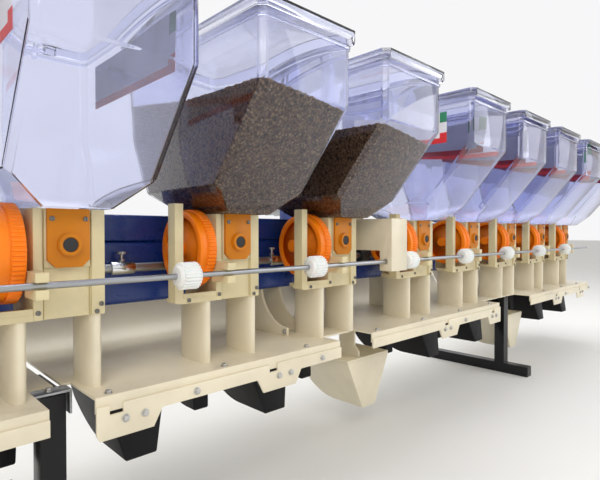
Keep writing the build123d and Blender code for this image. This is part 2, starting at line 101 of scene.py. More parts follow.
# World that lights the scene with the sky's tint, but looks pale and even where it is seen.
def addWorld(v):
    world = bpy.data.worlds.new("studioWorld")
    bpy.context.scene.world = world
    world.use_nodes = True
    tree = world.node_tree
    light = tree.nodes["Background"]
    light.inputs["Color"].default_value = (*v["skyTint"], 1)
    light.inputs["Strength"].default_value = v["skyLight"]
    shown = tree.nodes.new("ShaderNodeBackground")
    shown.inputs["Color"].default_value = (v["backShade"], v["backShade"], v["backShade"] * 1.01, 1)
    path = tree.nodes.new("ShaderNodeLightPath")
    seen = tree.nodes.new("ShaderNodeMath")
    seen.operation = "MAXIMUM"
    either = tree.nodes.new("ShaderNodeMath")
    either.operation = "MAXIMUM"
    mix = tree.nodes.new("ShaderNodeMixShader")
    link = tree.links.new
    link(path.outputs["Is Camera Ray"], seen.inputs[0])
    link(path.outputs["Is Transmission Ray"], seen.inputs[1])
    link(seen.outputs[0], either.inputs[0])
    link(path.outputs["Is Glossy Ray"], either.inputs[1])
    link(either.outputs[0], mix.inputs[0])
    link(light.outputs[0], mix.inputs[1])
    link(shown.outputs[0], mix.inputs[2])
    link(mix.outputs[0], tree.nodes["World Output"].inputs["Surface"])


def addFloor(v):
    floorMesh = bpy.data.meshes.new("studioFloor")
    reach, shade = v["floorReach"], v["floorShade"]
    corners = [(-reach, -reach, 0), (reach, -reach, 0), (reach, reach, 0), (-reach, reach, 0)]
    floorMesh.from_pydata(corners, [], [(0, 1, 2, 3)])
    floor = addObject("studioFloor", floorMesh)
    floorPaint = bpy.data.materials.new("floorPaint")
    floorPaint.use_nodes = True
    shader = floorPaint.node_tree.nodes["Principled BSDF"]
    shader.inputs["Base Color"].default_value = (shade, shade, shade * 0.985, 1)
    shader.inputs["Roughness"].default_value = 0.7
    floorMesh.materials.append(floorPaint)


addCamera(photoCamera)
addWorld(studio)
for name, values in studio["lamps"].items():
    addLamp(name, *values)
addFloor(studio)
bpy.context.scene.view_settings.view_transform = "Standard"
bpy.context.scene.cycles.transparent_max_bounces = 40
bpy.context.scene.cycles.transmission_bounces = 40
bpy.context.scene.cycles.max_bounces = 48
print("camera and studio done")

# Finishes


# A Finish builds one procedural material, node by node.
class Finish:
    def __init__(self, name):
        self.mat = bpy.data.materials.new(name)
        self.mat.use_nodes = True
        self.tree = self.mat.node_tree
        self.shader = self.tree.nodes["Principled BSDF"]
        self.place = self.tree.nodes.new("ShaderNodeTexCoord").outputs["Object"]

    def node(self, kind, **sockets):
        made = self.tree.nodes.new(kind)
        for name, value in sockets.items():
            made.inputs[name].default_value = value
        return made

    def link(self, a, b):
        self.tree.links.new(a, b)

    def set(self, **sockets):
        for name, value in sockets.items():
            self.shader.inputs[name.replace("_", " ")].default_value = value

    # Gives a texture its place on the piece, stretched where a stretch is given.
    def lay(self, texture, stretch):
        source = self.place
        if stretch:
            spread = self.node("ShaderNodeMapping", Scale=stretch)
            self.link(self.place, spread.inputs["Vector"])
            source = spread.outputs[0]
        self.link(source, texture.inputs["Vector"])
        return texture

    def noise(self, scale, detail, stretch=None):
        made = self.node("ShaderNodeTexNoise", Scale=scale, Detail=detail, Roughness=0.55)
        return self.lay(made, stretch).outputs["Fac"]

    def cells(self, scale, stretch):
        return self.lay(self.node("ShaderNodeTexVoronoi", Scale=scale, Randomness=1.0), stretch)

    def ramp(self, source, stops):
        made = self.tree.nodes.new("ShaderNodeValToRGB")
        while len(made.color_ramp.elements) < len(stops):
            made.color_ramp.elements.new(0.5)
        for element, (at, colour) in zip(made.color_ramp.elements, stops):
            element.position = at
            element.color = (*colour, 1)
        self.link(source, made.inputs["Fac"])
        return made.outputs["Color"]

    def between(self, source, low, high, fromLow=0.0, fromHigh=1.0):
        made = self.tree.nodes.new("ShaderNodeMapRange")
        for name, value in (("From Min", fromLow), ("From Max", fromHigh), ("To Min", low), ("To Max", high)):
            made.inputs[name].default_value = value
        self.link(source, made.inputs["Value"])
        return made.outputs[0]

    def bump(self, source, strength, depth):
        made = self.node("ShaderNodeBump", Strength=strength, Distance=depth)
        self.link(source, made.inputs["Height"])
        self.link(made.outputs[0], self.shader.inputs["Normal"])


def shades(colour, *factors):
    return [tuple(min(1, part * factor) for part in colour) for factor in factors]


def paint(name, colour, rough, coat=0.0, worn=0.06, specular=0.5):
    f = Finish(name)
    broad = f.noise(9, 5)
    dark, mid, light = shades(colour, 1 - 2 * worn, 1, 1 + worn)
    f.link(f.ramp(broad, [(0.3, dark), (0.5, mid), (0.72, light)]), f.shader.inputs["Base Color"])
    f.link(f.between(f.noise(38, 6), rough - 0.07, rough + 0.12), f.shader.inputs["Roughness"])
    f.set(Coat_Weight=coat, Coat_Roughness=0.12, Specular_IOR_Level=specular)
    f.bump(f.noise(420, 2), 0.12, 0.0004)
    return f.mat


def moulded(name, colour, rough, glow=0.0, specular=0.5):
    f = Finish(name)
    dark, mid, light = shades(colour, 0.88, 1, 1.06)
    f.link(f.ramp(f.noise(16, 4), [(0.32, dark), (0.5, mid), (0.7, light)]), f.shader.inputs["Base Color"])
    f.link(f.between(f.noise(60, 5), rough - 0.05, rough + 0.1), f.shader.inputs["Roughness"])
    f.set(Subsurface_Weight=glow, Subsurface_Scale=0.004, Specular_IOR_Level=specular)
    f.bump(f.noise(900, 3), 0.1, 0.0003)
    return f.mat


def metal(name, colour, rough, stretch=(4, 260, 260), streak=0.12):
    f = Finish(name)
    dark, mid, light = shades(colour, 0.72, 1, 1.12)
    lines = f.noise(6, 5, stretch)
    f.link(f.ramp(lines, [(0.3, dark), (0.52, mid), (0.75, light)]), f.shader.inputs["Base Color"])
    f.link(f.between(lines, rough - streak / 2, rough + streak), f.shader.inputs["Roughness"])
    f.set(Metallic=1.0)
    f.bump(lines, 0.06, 0.0002)
    return f.mat


# Clear plastic: "facing" is the plastic's own pale tint seen face-on; "edge" is a darker violet shown at
# grazing angles, painted shade for the longer path of light through the sheet.
clear = {
    "facing": (0.83, 0.845, 0.955),
    "edge": (0.36, 0.38, 0.70),
    "hopperRough": 0.025,
    "lidRough": 0.055,
    "index": 1.45,
}


def clearPlastic(name, v, rough):
    f = Finish(name)
    # Partly painted shade: the plastic's own tint darkens towards the edge colour as the surface turns away
    # from the camera, standing in for the longer path of light through the sheet.
    slant = f.node("ShaderNodeLayerWeight", Blend=0.32)
    tint = f.ramp(slant.outputs["Facing"], [(0.0, v["facing"]), (0.5, v["facing"]), (0.95, v["edge"])])
    f.link(tint, f.shader.inputs["Base Color"])
    smear = f.noise(14, 6)
    f.link(f.between(smear, rough, rough + 0.05, 0.45, 0.8), f.shader.inputs["Roughness"])
    f.set(Transmission_Weight=1.0, IOR=v["index"], Specular_IOR_Level=0.3)
    f.bump(f.noise(22, 2), 0.05, 0.002)
    return f.mat


grainLook = {
    "cellScale": 340,
    "stretch": (1, 1, 0.8),
    "seedTones": [(0.0, (0.045, 0.020, 0.008)), (0.3, (0.16, 0.082, 0.034)), (0.7, (0.28, 0.16, 0.075)),
                  (0.93, (0.36, 0.225, 0.11)), (1.0, (0.48, 0.33, 0.17))],
    "gapShadeTones": [(0.3, (1, 1, 1)), (0.8, (0.36, 0.31, 0.28))],  # from a seed's middle to the gap beside it, painted shade in the gaps between seeds
}


def grainFinish(name, v):
    f = Finish(name)
    cells = f.cells(v["cellScale"], v["stretch"])
    tone = f.node("ShaderNodeSeparateColor")
    f.link(cells.outputs["Color"], tone.inputs[0])
    mix = f.tree.nodes.new("ShaderNodeMix")
    mix.data_type = "RGBA"
    mix.blend_type = "MULTIPLY"
    mix.inputs["Factor"].default_value = 1.0
    # Painted shade: the seeds' own random tones are multiplied darker towards the gaps between them.
    f.link(f.ramp(tone.outputs[0], v["seedTones"]), mix.inputs["A"])
    f.link(f.ramp(cells.outputs["Distance"], v["gapShadeTones"]), mix.inputs["B"])
    f.link(mix.outputs["Result"], f.shader.inputs["Base Color"])
    f.set(Roughness=0.72, Specular_IOR_Level=0.25)
    f.bump(f.between(cells.outputs["Distance"], 1, 0), 0.9, 0.003)
    return f.mat


tones = {
    "cream": (0.775, 0.70, 0.53),
    "beige": (0.68, 0.585, 0.35),
    "blue": (0.012, 0.045, 0.26),
    "orange": (1.0, 0.235, 0.002),
    "amber": (0.60, 0.195, 0.002),
    "black": (0.006, 0.006, 0.007),
    "rubber": (0.02, 0.02, 0.02),
    "white": (0.86, 0.86, 0.84),
    "paper": (0.80, 0.80, 0.86),
    "zinc": (0.40, 0.41, 0.42),
    "bolt": (0.55, 0.54, 0.52),
    "screw": (0.20, 0.19, 0.175),
    "chrome": (0.72, 0.73, 0.75),
    "red": (0.70, 0.03, 0.035),
    "green": (0.03, 0.24, 0.13),
    "husk": (0.27, 0.17, 0.10),
}
finishes = {
    "clear_plastic": clearPlastic("clearHopper", clear, clear["hopperRough"]),
    "lid_plastic": clearPlastic("clearLid", clear, clear["lidRough"]),
    "grain": grainFinish("grainMass", grainLook),
    "housing_plastic": moulded("beigeHousing", tones["beige"], 0.42),
    "amber_plastic": moulded("amberCover", tones["amber"], 0.42, specular=0.32),
    "orange_plastic": moulded("orangeWheel", tones["orange"], 0.36, glow=0.08, specular=0.4),
    "white_plastic": moulded("whiteNylon", tones["white"], 0.38, glow=0.15),
    "cream_paint": paint("creamPaint", tones["cream"], 0.36, coat=0.15),
    "zinc_steel": metal("zincSteel", tones["zinc"], 0.34),
    "chrome_steel": metal("brightSteel", tones["chrome"], 0.14, streak=0.06),
    "blue_paint": paint("bluePaint", tones["blue"], 0.26, coat=0.25, worn=0.05, specular=0.4),
    "black_plastic": moulded("blackOpener", tones["black"], 0.5, specular=0.22),
    "black_paint": paint("blackPaint", tones["black"], 0.3, coat=0.1, worn=0.2, specular=0.25),
}
trim = {
    "boltZinc": metal("boltZinc", tones["bolt"], 0.3, (60, 60, 60)),
    "screwDark": metal("screwDark", tones["screw"], 0.38, (60, 60, 60)),
    "labelWhite": moulded("labelWhite", tones["paper"], 0.42),
    "labelRed": moulded("labelRed", tones["red"], 0.42),
    "labelGreen": moulded("labelGreen", tones["green"], 0.42),
    "darkRubber": moulded("darkRubber", tones["rubber"], 0.6),
    "seedHusk": moulded("seedHusk", tones["husk"], 0.6),
}
print("finishes done")

# Soft edges on the CAD pieces: the mesh is kept, and modifiers round its corners.

edgeRound = {  # width in metres, segments, smallest angle in degrees
    "clear_plastic": (0.0026, 3, 20),
    "lid_plastic": (0.0012, 2, 30),
    "housing_plastic": (0.0012, 2, 30),
    "amber_plastic": (0.0016, 2, 30),
    "white_plastic": (0.0006, 2, 40),
    "cream_paint": (0.0009, 2, 30),
    "black_plastic": (0.0030, 3, 25),
    "black_paint": (0.0018, 1, 30),
    "blue_paint": (0.0012, 2, 30),
    "zinc_steel": (0.0005, 1, 40),
    "chrome_steel": (0.0008, 2, 40),
}
ownEdges = (2, 30)  # segments and smallest angle on the pieces made here
sharpAbove = 32  # degrees between two faces
weldReach = 0.00002


# Geometry node group; each further input has a label, a kind and a value or None.
def nodeGroup(name, inputs):
    group = bpy.data.node_groups.new(name, "GeometryNodeTree")
    group.interface.new_socket("Geometry", in_out="INPUT", socket_type="NodeSocketGeometry")
    for label, kind, value in inputs:
        socket = group.interface.new_socket(label, in_out="INPUT", socket_type="NodeSocket" + kind)
        if value is not None:
            socket.default_value = value
    group.interface.new_socket("Geometry", in_out="OUTPUT", socket_type="NodeSocketGeometry")
    return group, group.nodes.new("NodeGroupInput"), group.nodes.new("NodeGroupOutput")


def angleShading(limit):
    group, start, end = nodeGroup("angleShading", (("Sharp above", "Float", limit),))
    n, link = group.nodes.new, group.links.new
    bend = n("GeometryNodeInputMeshEdgeAngle")
    test = n("FunctionNodeCompare")
    test.operation = "GREATER_THAN"
    faces, edges = n("GeometryNodeSetShadeSmooth"), n("GeometryNodeSetShadeSmooth")
    faces.domain, edges.domain = "FACE", "EDGE"
    edges.inputs["Shade Smooth"].default_value = False
    link(start.outputs["Geometry"], faces.inputs["Geometry"])
    link(faces.outputs[0], edges.inputs["Geometry"])
    link(bend.outputs["Unsigned Angle"], test.inputs["A"])
    link(start.outputs["Sharp above"], test.inputs["B"])
    link(test.outputs[0], edges.inputs["Selection"])
    link(edges.outputs[0], end.inputs["Geometry"])
    return group


shading = angleShading(math.radians(sharpAbove))


def dropNormals(obj):
    if "custom_normal" in obj.data.attributes:
        obj.data.attributes.remove(obj.data.attributes["custom_normal"])


def softenEdges(obj, width, steps, angle):
    dropNormals(obj)
    obj.modifiers.new("weld", "WELD").merge_threshold = weldReach
    bevel = obj.modifiers.new("bevel", "BEVEL")
    bevel.width = width
    bevel.segments = steps
    bevel.limit_method = "ANGLE"
    bevel.angle_limit = math.radians(angle)
    bevel.use_clamp_overlap = True
    obj.modifiers.new("shading", "NODES").node_group = shading


for name, thing in nodes.items():
    slot = slotOf[name]
    thing.data.materials.clear()
    thing.data.materials.append(finishes[slot])
    if slot in edgeRound:
        softenEdges(thing, *edgeRound[slot])
print("CAD pieces finished")

# Places that several pieces share

row = -0.073  # y of the line of units; the y places of the pieces made here are given from it
housingRear = row - 0.045
shaftLine = (row + 0.062, 0.3845)  # y and z of the drive shaft
pitch, centreGap = 0.250, 0.290
halfRow = [centreGap / 2 + pitch * step for step in range(5)]
unitX = sorted([-x for x in halfRow] + halfRow)
rearward, upward, leftward = (0, -1, 0), (0, 0, 1), (-1, 0, 0)

# Builders


# Loop of corners at one level of an axis; its outline lies in the two other axes, in order.
def loopAt(bm, outline, axis, level):
    loop = []
    for point in outline:
        place = list(point)
        place.insert(axis, level)
        loop.append(bm.verts.new(place))
    return loop


# Closed prism between two levels of an axis.
def prism(bm, outline, axis, low, high):
    rings = [loopAt(bm, outline, axis, level) for level in (low, high)]
    count = len(outline)
    bm.faces.new(rings[0])
    bm.faces.new(reversed(rings[1]))
    for i in range(count):
        j = (i + 1) % count
        bm.faces.new((rings[0][i], rings[1][i], rings[1][j], rings[0][j]))


def block(bm, low, high):
    outline = [(low[0], low[1]), (high[0], low[1]), (high[0], high[1]), (low[0], high[1])]
    prism(bm, outline, 2, low[2], high[2])


def circle(centre, radius, count=32):
    return [(centre[0] + radius * math.cos(2 * math.pi * i / count),
             centre[1] + radius * math.sin(2 * math.pi * i / count)) for i in range(count)]


# Outline with teeth; foot and crest are half widths as shares of the step between teeth.
def toothed(centre, count, inner, outer, foot, crest):
    outline = []
    for tooth in range(count):
        for part, radius in ((-foot, inner), (-crest, outer), (crest, outer), (foot, inner)):
            turn = 2 * math.pi * (tooth + part) / count
            outline.append((centre[0] + radius * math.cos(turn), centre[1] + radius * math.sin(turn)))
    return outline


# Closed ring between two radii, along one axis.
def pipe(bm, centre, inner, outer, axis, low, high, count=40):
    stations = ((outer, low), (outer, high), (inner, high), (inner, low))
    rings = [loopAt(bm, circle(centre, radius, count), axis, level) for radius, level in stations]
    for a in range(4):
        b = (a + 1) % 4
        for i in range(count):
            j = (i + 1) % count
            bm.faces.new((rings[a][i], rings[a][j], rings[b][j], rings[b][i]))


def meshFrom(name, bm):
    bmesh.ops.recalc_face_normals(bm, faces=bm.faces)
    mesh = bpy.data.meshes.new(name)
    bm.to_mesh(mesh)
    bm.free()
    return mesh


# Swaps the mesh for its evaluated one and drops the modifiers.
def flatten(obj):
    bpy.context.view_layer.update()
    solid = bpy.data.meshes.new_from_object(obj.evaluated_get(bpy.context.evaluated_depsgraph_get()))
    old = obj.data
    obj.modifiers.clear()
    obj.data = solid
    solid.name = obj.name
    bpy.data.meshes.remove(old)


def makeEdges(obj, soft):
    if soft:
        softenEdges(obj, soft, *ownEdges)
    else:
        obj.modifiers.new("shading", "NODES").node_group = shading
    flatten(obj)


def finishMesh(name, bm, material, body, soft=0.0):
    mesh = meshFrom(name, bm)
    mesh.materials.append(material)
    obj = addObject(name, mesh)
    makeEdges(obj, soft)
    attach(obj, body)
    return obj


# Node modifier; its inputs are given by label and set by socket identifier.
def addNodes(obj, group, values):
    modifier = obj.modifiers.new("nodes", "NODES")
    modifier.node_group = group
    keys = {item.name: item.identifier for item in group.interface.items_tree if item.in_out == "INPUT"}
    for label, value in values.items():
        modifier[keys[label]] = value


# Copies of a shape, made real and given the group's finish; the points are linked by the caller.
def copiesOf(shape, group, start, end):
    n, link = group.nodes.new, group.links.new
    source = n("GeometryNodeObjectInfo")
    source.inputs["Object"].default_value = shape
    copies = n("GeometryNodeInstanceOnPoints")
    real = n("GeometryNodeRealizeInstances")
    coat = n("GeometryNodeSetMaterial")
    link(source.outputs["Geometry"], copies.inputs["Instance"])
    link(copies.outputs[0], real.inputs[0])
    link(real.outputs[0], coat.inputs["Geometry"])
    link(start.outputs["Finish"], coat.inputs["Material"])
    link(coat.outputs[0], end.inputs["Geometry"])
    return copies


# Node group that sets a shape on every point, turned to the point's aim.
def spreader(name, shape):
    group, start, end = nodeGroup(name, (("Finish", "Material", None),))
    copies = copiesOf(shape, group, start, end)
    n, link = group.nodes.new, group.links.new
    aim = n("GeometryNodeInputNamedAttribute")
    aim.data_type = "FLOAT_VECTOR"
    aim.inputs["Name"].default_value = "aim"
    turn = n("FunctionNodeAlignRotationToVector")
    turn.axis = "Z"
    link(start.outputs["Geometry"], copies.inputs["Points"])
    link(aim.outputs["Attribute"], turn.inputs["Vector"])
    link(turn.outputs[0], copies.inputs["Rotation"])
    return group


def setOnPoints(name, shape, points, material, body):
    mesh = bpy.data.meshes.new(name)
    mesh.from_pydata([p for p, _ in points], [], [])
    aims = mesh.attributes.new("aim", "FLOAT_VECTOR", "POINT")
    for i, (_, aim) in enumerate(points):
        aims.data[i].vector = aim
    obj = addObject(name, mesh)
    addNodes(obj, spreader(name + "Nodes", shape), {"Finish": material})
    flatten(obj)
    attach(obj, body)


masters = []


# Master shape for the copies, with its bevels made; deleted at the end.
def shapeFrom(name, bm, soft=0.0):
    obj = addObject(name, meshFrom(name, bm))
    makeEdges(obj, soft)
    masters.append(obj)
    return obj


bolt = {"washer": 0.0052, "washerHeight": 0.0009, "head": 0.0040, "headHeight": 0.0030, "edge": 0.0003}


def boltShape(v):
    bm = bmesh.new()
    prism(bm, circle((0, 0), v["washer"], 24), 2, 0, v["washerHeight"])
    prism(bm, circle((0, 0), v["head"], 6), 2, v["washerHeight"], v["washerHeight"] + v["headHeight"])
    return shapeFrom("boltMaster", bm, v["edge"])


screw = {
    "head": 0.0030, "height": 0.0015, "slot": 0.0008, "edge": 0.0002,
    "floorRadius": 0.96, "floorHeight": 0.55,  # shares of the head's radius and height
}


# Two half discs on either side of the slot, on a floor.
def screwShape(v):
    bm = bmesh.new()
    half, reach = v["slot"] / 2, v["head"]
    for side in (-1, 1):
        arc = [(side * (half + (reach - half) * math.cos(a)), reach * math.sin(a) * side)
               for a in [math.radians(-80 + 20 * i) for i in range(9)]]
        prism(bm, arc, 2, 0, v["height"])
    prism(bm, circle((0, 0), reach * v["floorRadius"], 20), 2, 0, v["height"] * v["floorHeight"])
    return shapeFrom("screwMaster", bm, v["edge"])


boltMaster, screwMaster = boltShape(bolt), screwShape(screw)

# Floats and their strips cut back round the stands, so that the tops of the stands show

cutBack = {
    "left": (-0.681, -0.631, row + 0.003),  # from x, to x, front limit in y
    "right": (0.478, 0.702, row - 0.033),
}
cutReach = {"rear": row - 0.12, "low": 0.15, "high": 0.26}


def inCut(x, y, v):
    return any(low < x < high and y < front for low, high, front in v.values())


# Copy of a CAD piece with boxes cut out of it, shown in its place.
def cutCopy(name, node, boxes, slot):
    obj = addObject(name, nodes[node].data.copy())
    dropNormals(obj)
    obj.modifiers.new("weld", "WELD").merge_threshold = weldReach
    cutters = []
    for low, high in boxes:
        bm = bmesh.new()
        block(bm, low, high)
        cutter = addObject("cutter", meshFrom("cutter", bm))
        cut = obj.modifiers.new("cut", "BOOLEAN")
        cut.operation = "DIFFERENCE"
        cut.solver = "EXACT"
        cut.object = cutter
        cutters.append(cutter)
    flatten(obj)
    for cutter in cutters:
        bpy.data.objects.remove(cutter)
    softenEdges(obj, *edgeRound[slot])
    flatten(obj)
    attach(obj, "frame")
    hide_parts(node)


def cutFloats(v, reach):
    rear, floor, roof = reach["rear"], reach["low"], reach["high"]
    boxes = [((low, rear, floor), (high, front, roof)) for low, high, front in v.values()]
    for number in range(1, 5):
        cutCopy(f"floatPlate{number}", f"float_{number}", boxes, "cream_paint")
    cutCopy("floatTabStrips", "float_tab_strips", boxes, "cream_paint")


# Bolts of the floats: along the rear bends, on the tab strips, on the cheeks' toes and on the straps

floatBolts = {
    "start": 0.03, "step": 0.17, "end": 0.02, "bendBack": 0.010, "bendTop": 0.019,
    "notch": -0.196,  # x where the bend of the second float ends
    "openers": (-1.041, -0.541, -0.291, 0.229, 0.479, 0.979, 1.25),
    "tabPair": (-0.055, -0.030), "tabRise": 0.021, "stripShift": 0.045, "stripDrop": 0.010,
    "cheeks": (-0.24, -0.192, 0.192, 0.24), "cheekSide": 0.0025, "toeY": row + 0.015, "toeZ": 0.2515,
    "straps": ((-0.662, row - 0.014, 0.243), (0.646, row + 0.030, 0.246), (0.674, row + 0.030, 0.246)),
}


def placeFloatBolts(v):
    points = []
    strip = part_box("float_tab_strips")
    for number in range(1, 5):
        low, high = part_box(f"float_{number}")
        end = min(high.x, v["notch"]) if number == 2 else high.x
        x = low.x + v["start"]
        while x < end - v["end"]:
            points.append(((x, low.y + v["bendBack"], low.z + v["bendTop"]), upward))
            x += v["step"]
    for x in v["openers"]:
        for shift in v["tabPair"]:
            if strip[0].x < x + shift < strip[1].x:
                points.append(((x + shift, strip[0].y, strip[0].z + v["tabRise"]), rearward))
        points.append(((x + v["stripShift"], strip[0].y, strip[1].z - v["stripDrop"]), rearward))
    for x in v["cheeks"]:
        points.append(((x - v["cheekSide"], v["toeY"], v["toeZ"]), leftward))
    points = [(place, aim) for place, aim in points if not inCut(place[0], place[1], cutBack)]
    points += [(place, upward) for place in v["straps"]]
    setOnPoints("floatBolts", boltMaster, points, trim["boltZinc"], "frame")


placeFloatBolts(floatBolts)
cutFloats(cutBack, cutReach)

# Straps: an angle on the left stand's top, and a flat one across the gap at the right stand

strap = {
    "left": -0.6805, "right": -0.638, "rear": row - 0.026, "front": row - 0.002,
    "low": 0.240, "drop": 0.212, "thick": 0.003, "edge": 0.0006,
    "flat": ((0.638, row + 0.0175, 0.243), (0.682, row + 0.0425, 0.246)),
}


def addStraps(v):
    bm = bmesh.new()
    top, inner = v["low"] + v["thick"], v["right"] - v["thick"]
    outline = [(v["left"], v["low"]), (inner, v["low"]), (inner, v["drop"]), (v["right"], v["drop"]),
               (v["right"], top), (v["left"], top)]
    prism(bm, outline, 1, v["rear"], v["front"])
    block(bm, *v["flat"])
    straps = finishMesh("floatStraps", bm, finishes["zinc_steel"], "frame", v["edge"])
    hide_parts("float_straps")


addStraps(strap)

# Drive case open below, so that the shaft and the beam show through, with a shorter rear wall

caseOpening = {
    "left": -0.060, "right": 0.010, "floor": 0.330, "roof": 0.402, "rear": row - 0.100, "front": row + 0.090,
    "wallFront": row - 0.066, "wallLow": 0.361, "overlap": 0.005,
}


def openCase(v):
    inside = ((v["left"], v["wallFront"], v["floor"]), (v["right"], v["front"], v["roof"]))
    behind = ((v["left"], v["rear"], v["floor"]), (v["right"], v["wallFront"] + v["overlap"], v["wallLow"]))
    cutCopy("driveCase", "drive_case", (inside, behind), "cream_paint")


openCase(caseOpening)

# Black coupling on the drive shaft beside the case

coupling = {"left": 0.036, "right": 0.064, "inner": 0.0071, "outer": 0.0135, "corners": 36, "edge": 0.0008}


def addCoupling(v):
    bm = bmesh.new()
    pipe(bm, shaftLine, v["inner"], v["outer"], 0, v["left"], v["right"], v["corners"])
    finishMesh("shaftCoupling", bm, trim["darkRubber"], "drive_line", v["edge"])


addCoupling(coupling)

# Weld beads where the hitch plates and the mast meet the beam

bead = {
    "size": 0.005, "low": 0.341, "high": 0.417, "beamFront": row + 0.185,
    "plates": (-0.200, -0.037, 0.037, 0.200), "plateHalf": 0.006, "edge": 0.0008,
}


def addBeads(v):
    bm = bmesh.new()
    for x in v["plates"]:
        for side in (-1, 1):
            edge = x + side * v["plateHalf"]
            prism(bm, [(edge, v["beamFront"]), (edge + side * v["size"], v["beamFront"]),
                       (edge, v["beamFront"] + v["size"])], 2, v["low"], v["high"])
    finishMesh("weldBeads", bm, finishes["blue_paint"], "frame", v["edge"])


addBeads(bead)
print("floats, straps and drive case done")

# Screws of the metering housings, covers and trays; x from the unit's centre, and z

housingScrews = {
    "flange": ((0.0365, 0.349), (0.031, 0.340), (-0.036, 0.345)),
    "cover": ((-0.022, 0.455), (0.016, 0.455)), "coverStep": 0.005,
    "tray": (-0.088, 0.3405),
}


def placeHousingScrews(v):
    points = []
    for x in unitX:
        points += [((x + dx, housingRear, z), rearward) for dx, z in v["flange"]]
        points += [((x + dx, housingRear - v["coverStep"], z), rearward) for dx, z in v["cover"]]
        points.append(((x + v["tray"][0], housingRear, v["tray"][1]), rearward))
    setOnPoints("housingScrews", screwMaster, points, trim["screwDark"], "frame")


placeHousingScrews(housingScrews)
print("bolts and screws done")

# Adjusting wheel: ribbed ring, smooth drum with a dished face, hubs to the pillar and the housing

wheel = {
    "ribs": 68, "ribHeight": 0.0017, "drum": 0.0575, "ring": 0.060, "hub": 0.011, "dish": 0.048,
    "dishDepth": 0.004, "lip": 0.0012, "lipDrop": 0.0004, "corners": 72, "hubCorners": 32,
    "foot": 0.34, "crest": 0.2,  # half widths of a rib as shares of the step between ribs
    "edge": 0.0004,
    "pillar": -0.097, "left": -0.078, "step": -0.067, "right": -0.051, "seat": -0.041,
    "centre": (row - 0.004, 0.414),
}


def addWheels(v):
    bm = bmesh.new()
    centre, lip = v["centre"], v["lip"]
    core = v["ring"] - v["ribHeight"]
    ribs = toothed(centre, v["ribs"], core, v["ring"], v["foot"], v["crest"])
    drum = circle(centre, v["drum"], v["corners"])
    edge = circle(centre, core - v["lipDrop"], v["corners"])
    hub = circle(centre, v["hub"], v["hubCorners"])
    for x in unitX:
        dish = x + v["left"] + v["dishDepth"]
        pipe(bm, centre, v["dish"], v["drum"], 0, x + v["left"], dish, v["corners"])
        prism(bm, drum, 0, dish, x + v["step"])
        prism(bm, ribs, 0, x + v["step"] + lip, x + v["right"] - lip)
        for low, high in ((v["step"], v["step"] + lip), (v["right"] - lip, v["right"])):
            prism(bm, edge, 0, x + low, x + high)
        prism(bm, hub, 0, x + v["right"], x + v["seat"])
        prism(bm, hub, 0, x + v["pillar"], dish)
    orange = finishes["orange_plastic"]
    wheels = finishMesh("adjustingWheels", bm, orange, "frame", v["edge"])
    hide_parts("adjusting_wheels")


addWheels(wheel)

# Adjusting pinion: fine teeth between two sloped ends

pinion = {
    "teeth": 24, "root": 0.0166, "tip": 0.0186, "end": 0.0120, "slope": 0.0045, "coreDrop": 0.0003,
    "foot": 0.32, "crest": 0.13,  # half widths of a tooth as shares of the step between teeth
    "edge": 0.0003,
    "left": -0.128, "right": -0.094, "centre": (row - 0.080, 0.380), "corners": 48,
}


def addPinions(v):
    bm = bmesh.new()
    teeth = toothed(v["centre"], v["teeth"], v["root"], v["tip"], v["foot"], v["crest"])
    core, count = v["root"] - v["coreDrop"], v["corners"]
    for x in unitX:
        left, right = x + v["left"], x + v["right"]
        prism(bm, teeth, 0, left + v["slope"], right - v["slope"])
        stations = ((left, v["end"]), (left + v["slope"], core),
                    (right - v["slope"], core), (right, v["end"]))
        rings = [loopAt(bm, circle(v["centre"], radius, count), 0, level) for level, radius in stations]
        bm.faces.new(rings[0])
        bm.faces.new(reversed(rings[-1]))
        for near, far in zip(rings, rings[1:]):
            for i in range(count):
                j = (i + 1) % count
                bm.faces.new((near[i], far[i], far[j], near[j]))
    white = finishes["white_plastic"]
    pinions = finishMesh("adjustingPinions", bm, white, "frame", v["edge"])
    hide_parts("adjusting_pinions")


addPinions(pinion)

# Pillars narrower than in the source, trays cut back behind them, and a lip on every tray's rear edge

bracket = {  # boxes from corner to corner, with x from the unit's centre
    "cuts": (
        ((-0.120, housingRear - 0.005, 0.330), (-0.110, row - 0.010, 0.490)),
        ((-0.120, row - 0.025, 0.3435), (-0.095, row - 0.015, 0.490)),
        ((-0.120, row - 0.0205, 0.330), (-0.085, row + 0.020, 0.350)),
    ),
    "lip": ((-0.0965, housingRear + 0.0003, 0.341), (-0.041, housingRear + 0.003, 0.3505)),
    "edge": 0.0008,
}


def trimBrackets(v):
    def atUnit(corners, x):
        return [(x + dx, y, z) for dx, y, z in corners]

    boxes = [atUnit(cut, x) for x in unitX for cut in v["cuts"]]
    bm = bmesh.new()
    for x in unitX:
        block(bm, *atUnit(v["lip"], x))
    cutCopy("wheelBrackets", "wheel_brackets", boxes, "housing_plastic")
    finishMesh("trayLips", bm, finishes["housing_plastic"], "frame", v["edge"])


trimBrackets(bracket)

# Seed tubes as flat ducts, longer from front to rear than they are wide

duct = {
    "shifts": (-0.054, 0.032), "middle": row - 0.0065, "halfWidth": 0.0105, "halfDepth": 0.0365,
    "fullness": 2.5,  # 2 gives an ellipse, more gives flatter sides
    "corners": 56,
}


def addDucts(v):
    bm = bmesh.new()
    low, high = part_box("seed_tubes")
    for x in unitX:
        for shift in v["shifts"]:
            outline = []
            for across, along in circle((0, 0), 1, v["corners"]):
                wide = math.copysign(abs(across) ** (2 / v["fullness"]), across)
                deep = math.copysign(abs(along) ** (2 / v["fullness"]), along)
                outline.append((x + shift + v["halfWidth"] * wide, v["middle"] + v["halfDepth"] * deep))
            prism(bm, outline, 2, low.z, high.z)
    ducts = finishMesh("seedTubes", bm, finishes["cream_paint"], "frame")
    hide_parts("seed_tubes")


addDucts(duct)

# Rotor cover: raised ring with a dark plug in it

